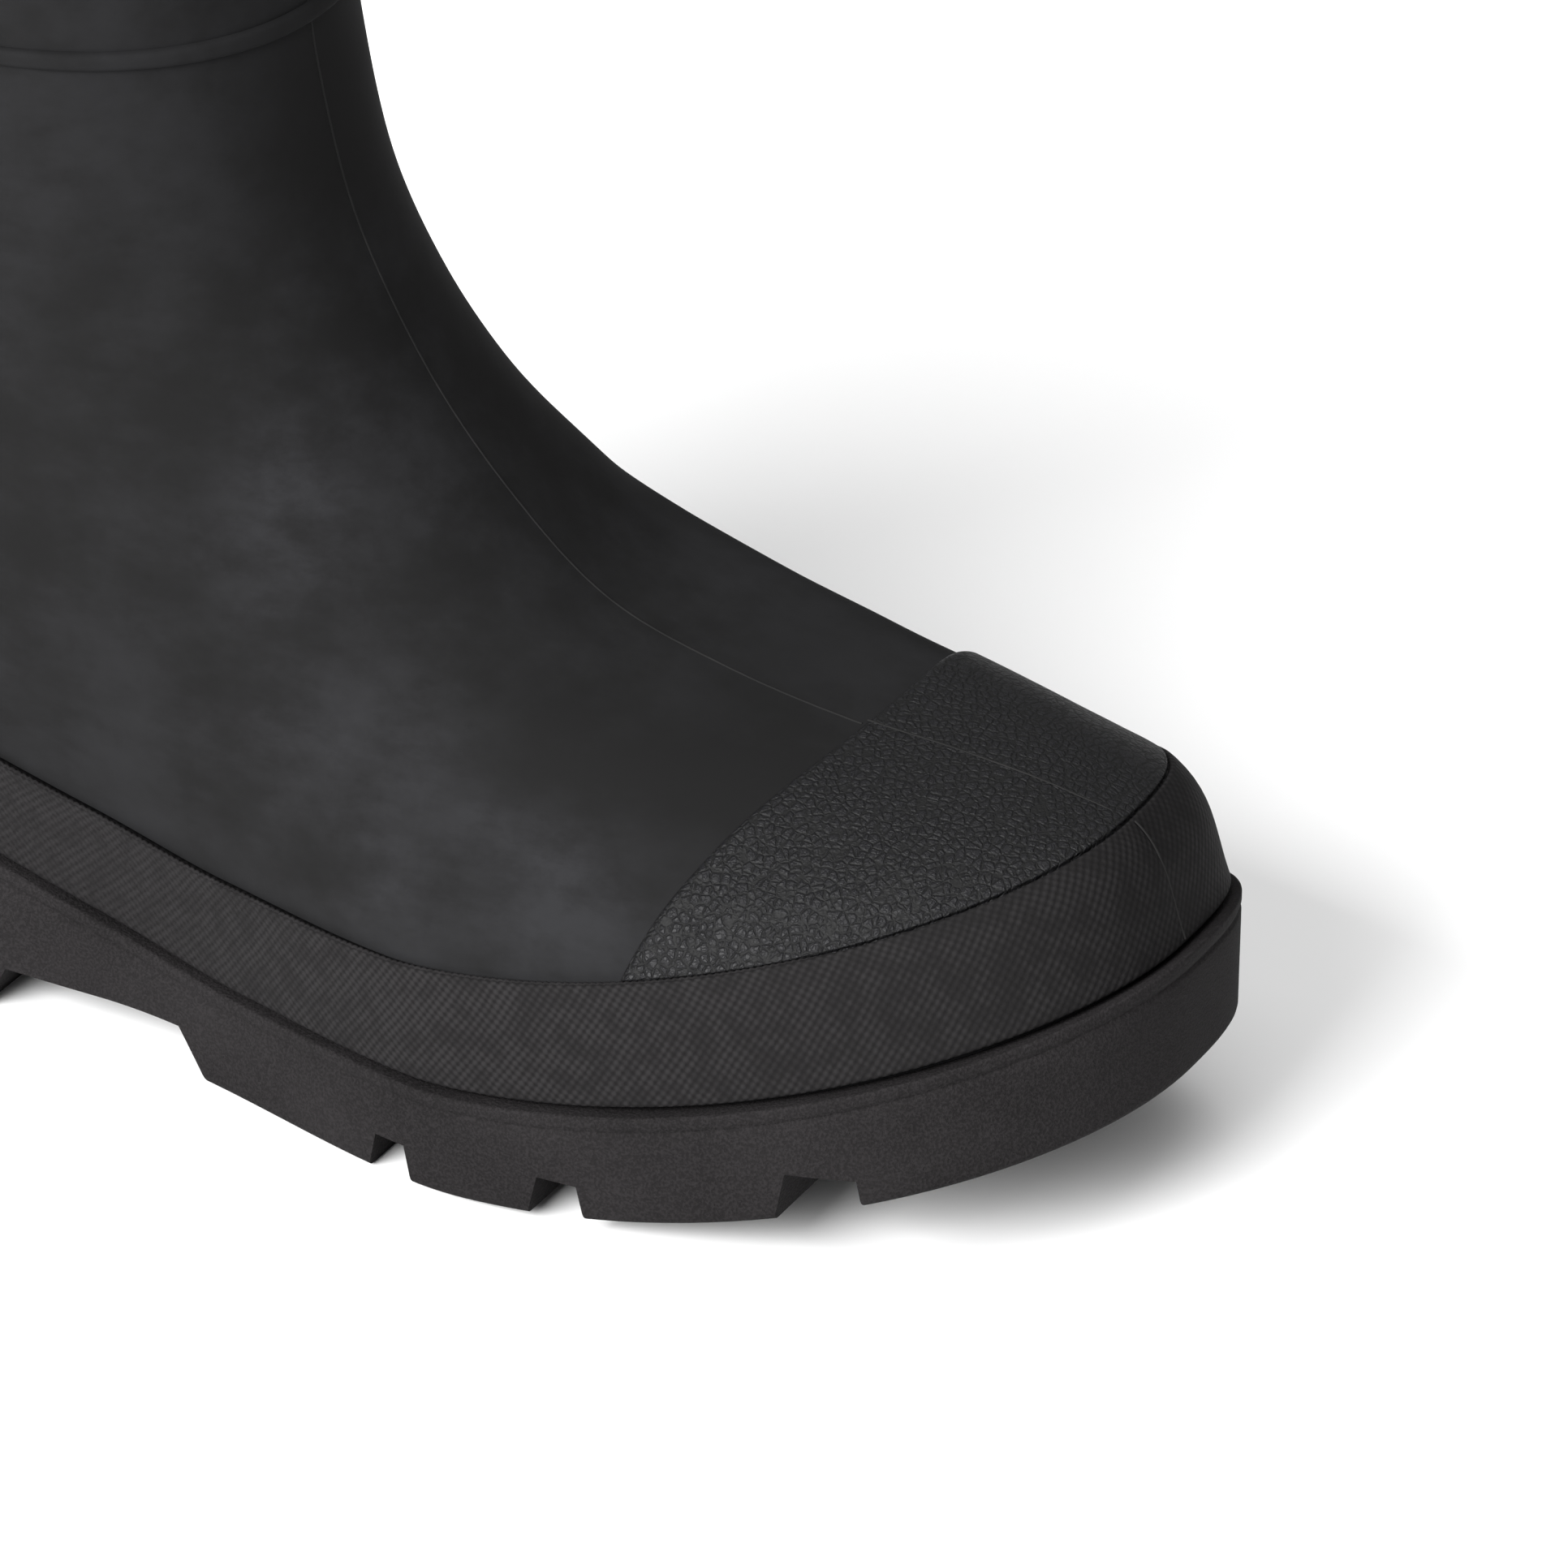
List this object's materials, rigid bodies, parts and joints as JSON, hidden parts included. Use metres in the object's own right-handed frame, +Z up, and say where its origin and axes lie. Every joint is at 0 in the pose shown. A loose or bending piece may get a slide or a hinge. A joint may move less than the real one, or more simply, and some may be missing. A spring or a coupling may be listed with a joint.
{
  "type": "rubber boot",
  "caption": "Tall moulded rubber boot for the right foot, with a grained toe cap, a wrapped rand and a thick lugged outsole",
  "frame": {"origin": "centre of the heel's flat rest on the floor", "axes": "+X towards the toe, +Z up along the shaft, +Y towards the medial side of this right boot"},
  "size_m": [0.2943, 0.1136, 0.3761],
  "materials": {
    "outsole": "matte, fine moulded grain",
    "insole": "woven textile",
    "upper": "matte, faint sheen",
    "rand": "matte, fine diagonal pattern",
    "toe_cap": "leather-like grain, slight gloss",
    "band": "matte, faint sheen"
  },
  "bodies": {
    "root": {"outsole": "outsole", "insole": "insole", "upper": "upper", "rand": "rand", "toe_cap": "toe_cap", "ankle_band": "band", "collar_band": "band"}
  },
  "joints": []
}
